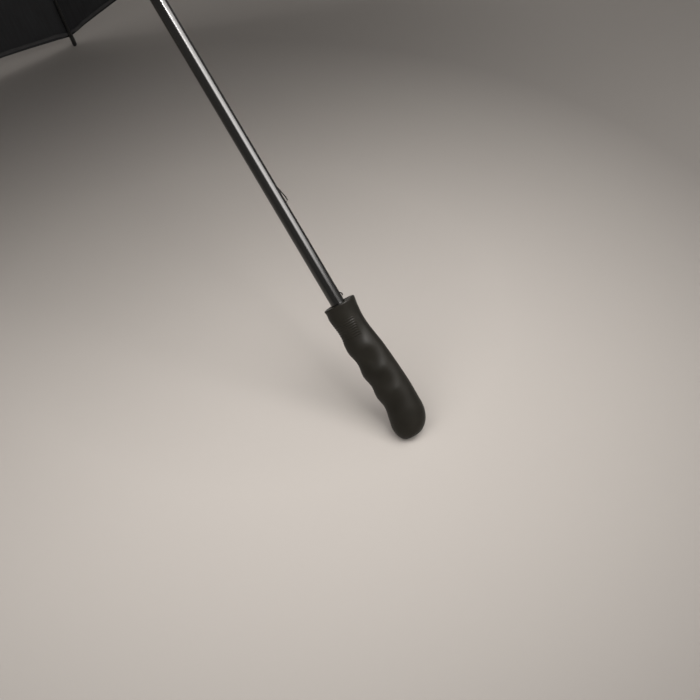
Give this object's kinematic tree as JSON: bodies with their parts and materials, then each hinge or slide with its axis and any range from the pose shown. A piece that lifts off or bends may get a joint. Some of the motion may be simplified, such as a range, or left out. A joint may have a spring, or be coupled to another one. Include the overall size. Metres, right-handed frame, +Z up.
{
  "type": "golf umbrella",
  "caption": "Open full-length golf umbrella with a straight ergonomic grip, a sprung-catch shaft, a sliding runner and a domed cloth canopy on folding ribs.",
  "frame": {"origin": "end of the handle, on the shaft's axis; the umbrella is open", "axes": "+Z up the shaft to the ferrule, -X the finger side of the grip, +X the side that both catches face"},
  "size_m": [1.344, 1.344, 1.013],
  "materials": {
    "shaft_black": "satin",
    "grip_rubber": "matt",
    "grip_cap": "matt",
    "moulding": "satin",
    "wire": "bright",
    "cloth": "woven",
    "ferrule": "satin",
    "pins": "bright",
    "spring_steel": "blackened",
    "fibreglass": "satin",
    "bright_fitting": "plated",
    "tip_plastic": "satin",
    "stretcher_steel": "satin"
  },
  "bodies": {
    "shaft_frame": {"shaft_tube": "shaft_black", "grip": "grip_rubber", "grip_end_cap": "grip_cap", "top_notch": "moulding", "notch_wire": "wire", "crown_patch": "cloth", "ferrule": "ferrule", "cross_pins": "pins"},
    "runner": {"runner": "moulding", "runner_wire": "wire"},
    "lower_catch": {"lower_catch_spring": "spring_steel"},
    "upper_catch": {"upper_catch_spring": "spring_steel"},
    "rib_1": {"rib_rod_1": "fibreglass", "rib_head_1": "bright_fitting", "rib_joint_1": "bright_fitting", "rib_tip_1": "tip_plastic", "canopy_panel_1": "cloth"},
    "stretcher_1": {"stretcher_1": "stretcher_steel"},
    "rib_2": {"rib_rod_2": "fibreglass", "rib_head_2": "bright_fitting", "rib_joint_2": "bright_fitting", "rib_tip_2": "tip_plastic", "canopy_panel_2": "cloth"},
    "stretcher_2": {"stretcher_2": "stretcher_steel"},
    "rib_3": {"rib_rod_3": "fibreglass", "rib_head_3": "bright_fitting", "rib_joint_3": "bright_fitting", "rib_tip_3": "tip_plastic", "canopy_panel_3": "cloth"},
    "stretcher_3": {"stretcher_3": "stretcher_steel"},
    "rib_4": {"rib_rod_4": "fibreglass", "rib_head_4": "bright_fitting", "rib_joint_4": "bright_fitting", "rib_tip_4": "tip_plastic", "canopy_panel_4": "cloth"},
    "stretcher_4": {"stretcher_4": "stretcher_steel"},
    "rib_5": {"rib_rod_5": "fibreglass", "rib_head_5": "bright_fitting", "rib_joint_5": "bright_fitting", "rib_tip_5": "tip_plastic", "canopy_panel_5": "cloth"},
    "stretcher_5": {"stretcher_5": "stretcher_steel"},
    "rib_6": {"rib_rod_6": "fibreglass", "rib_head_6": "bright_fitting", "rib_joint_6": "bright_fitting", "rib_tip_6": "tip_plastic", "canopy_panel_6": "cloth"},
    "stretcher_6": {"stretcher_6": "stretcher_steel"},
    "rib_7": {"rib_rod_7": "fibreglass", "rib_head_7": "bright_fitting", "rib_joint_7": "bright_fitting", "rib_tip_7": "tip_plastic", "canopy_panel_7": "cloth"},
    "stretcher_7": {"stretcher_7": "stretcher_steel"},
    "rib_8": {"rib_rod_8": "fibreglass", "rib_head_8": "bright_fitting", "rib_joint_8": "bright_fitting", "rib_tip_8": "tip_plastic", "canopy_panel_8": "cloth"},
    "stretcher_8": {"stretcher_8": "stretcher_steel"}
  },
  "joints": [
    {"name": "runner_slide", "type": "slide", "parent": "shaft_frame", "child": "runner", "axis": [0, 0, 1], "range_m": [-0.42924, 0], "deforming": ["lower_catch_spring", "upper_catch_spring"]},
    {"name": "lower_catch_press", "type": "hinge", "parent": "shaft_frame", "child": "lower_catch", "pos_m": [0.0063, 0, 0.16], "axis": [0, -1, 0], "range_deg": [0, 1.3], "stiffness_Nm_per_rad": 20},
    {"name": "upper_catch_press", "type": "hinge", "parent": "shaft_frame", "child": "upper_catch", "pos_m": [0.0063, 0, 0.524], "axis": [0, -1, 0], "range_deg": [0, 1.3], "stiffness_Nm_per_rad": 20},
    {"name": "rib_1_fold", "type": "hinge", "parent": "shaft_frame", "child": "rib_1", "pos_m": [0.0103, 0.00205, 0.942], "axis": [-0.1951, 0.9808, 0], "range_deg": [0, 60.23], "deforming": ["canopy_panel_1"]},
    {"name": "stretcher_1_fold", "type": "hinge", "parent": "rib_1", "child": "stretcher_1", "pos_m": [0.31654, 0.06296, 0.83909], "axis": [0.1951, -0.9808, 0], "range_deg": [0, 118.99]},
    {"name": "rib_2_fold", "type": "hinge", "parent": "shaft_frame", "child": "rib_2", "pos_m": [0.00583, 0.00873, 0.942], "axis": [-0.8315, 0.5556, 0], "range_deg": [0, 60.23], "deforming": ["canopy_panel_2"]},
    {"name": "stretcher_2_fold", "type": "hinge", "parent": "rib_2", "child": "stretcher_2", "pos_m": [0.17931, 0.26835, 0.83909], "axis": [0.8315, -0.5556, 0], "range_deg": [0, 118.99]},
    {"name": "rib_3_fold", "type": "hinge", "parent": "shaft_frame", "child": "rib_3", "pos_m": [-0.00205, 0.0103, 0.942], "axis": [-0.9808, -0.1951, 0], "range_deg": [0, 60.23], "deforming": ["canopy_panel_3"]},
    {"name": "stretcher_3_fold", "type": "hinge", "parent": "rib_3", "child": "stretcher_3", "pos_m": [-0.06296, 0.31654, 0.83909], "axis": [0.9808, 0.1951, 0], "range_deg": [0, 118.99]},
    {"name": "rib_4_fold", "type": "hinge", "parent": "shaft_frame", "child": "rib_4", "pos_m": [-0.00873, 0.00583, 0.942], "axis": [-0.5556, -0.8315, 0], "range_deg": [0, 60.23], "deforming": ["canopy_panel_4"]},
    {"name": "stretcher_4_fold", "type": "hinge", "parent": "rib_4", "child": "stretcher_4", "pos_m": [-0.26835, 0.17931, 0.83909], "axis": [0.5556, 0.8315, 0], "range_deg": [0, 118.99]},
    {"name": "rib_5_fold", "type": "hinge", "parent": "shaft_frame", "child": "rib_5", "pos_m": [-0.0103, -0.00205, 0.942], "axis": [0.1951, -0.9808, 0], "range_deg": [0, 60.23], "deforming": ["canopy_panel_5"]},
    {"name": "stretcher_5_fold", "type": "hinge", "parent": "rib_5", "child": "stretcher_5", "pos_m": [-0.31654, -0.06296, 0.83909], "axis": [-0.1951, 0.9808, 0], "range_deg": [0, 118.99]},
    {"name": "rib_6_fold", "type": "hinge", "parent": "shaft_frame", "child": "rib_6", "pos_m": [-0.00583, -0.00873, 0.942], "axis": [0.8315, -0.5556, 0], "range_deg": [0, 60.23], "deforming": ["canopy_panel_6"]},
    {"name": "stretcher_6_fold", "type": "hinge", "parent": "rib_6", "child": "stretcher_6", "pos_m": [-0.17931, -0.26835, 0.83909], "axis": [-0.8315, 0.5556, 0], "range_deg": [0, 118.99]},
    {"name": "rib_7_fold", "type": "hinge", "parent": "shaft_frame", "child": "rib_7", "pos_m": [0.00205, -0.0103, 0.942], "axis": [0.9808, 0.1951, 0], "range_deg": [0, 60.23], "deforming": ["canopy_panel_7"]},
    {"name": "stretcher_7_fold", "type": "hinge", "parent": "rib_7", "child": "stretcher_7", "pos_m": [0.06296, -0.31654, 0.83909], "axis": [-0.9808, -0.1951, 0], "range_deg": [0, 118.99]},
    {"name": "rib_8_fold", "type": "hinge", "parent": "shaft_frame", "child": "rib_8", "pos_m": [0.00873, -0.00583, 0.942], "axis": [0.5556, 0.8315, 0], "range_deg": [0, 60.23], "deforming": ["canopy_panel_8"]},
    {"name": "stretcher_8_fold", "type": "hinge", "parent": "rib_8", "child": "stretcher_8", "pos_m": [0.26835, -0.17931, 0.83909], "axis": [-0.5556, -0.8315, 0], "range_deg": [0, 118.99]}
  ],
  "couplings": [
    {"joint": "rib_1_fold", "follows": "runner_slide", "rad_per_m": -2.4485},
    {"joint": "stretcher_1_fold", "follows": "runner_slide", "rad_per_m": -4.8379},
    {"joint": "rib_2_fold", "follows": "runner_slide", "rad_per_m": -2.4485},
    {"joint": "stretcher_2_fold", "follows": "runner_slide", "rad_per_m": -4.8379},
    {"joint": "rib_3_fold", "follows": "runner_slide", "rad_per_m": -2.4485},
    {"joint": "stretcher_3_fold", "follows": "runner_slide", "rad_per_m": -4.8379},
    {"joint": "rib_4_fold", "follows": "runner_slide", "rad_per_m": -2.4485},
    {"joint": "stretcher_4_fold", "follows": "runner_slide", "rad_per_m": -4.8379},
    {"joint": "rib_5_fold", "follows": "runner_slide", "rad_per_m": -2.4485},
    {"joint": "stretcher_5_fold", "follows": "runner_slide", "rad_per_m": -4.8379},
    {"joint": "rib_6_fold", "follows": "runner_slide", "rad_per_m": -2.4485},
    {"joint": "stretcher_6_fold", "follows": "runner_slide", "rad_per_m": -4.8379},
    {"joint": "rib_7_fold", "follows": "runner_slide", "rad_per_m": -2.4485},
    {"joint": "stretcher_7_fold", "follows": "runner_slide", "rad_per_m": -4.8379},
    {"joint": "rib_8_fold", "follows": "runner_slide", "rad_per_m": -2.4485},
    {"joint": "stretcher_8_fold", "follows": "runner_slide", "rad_per_m": -4.8379}
  ]
}
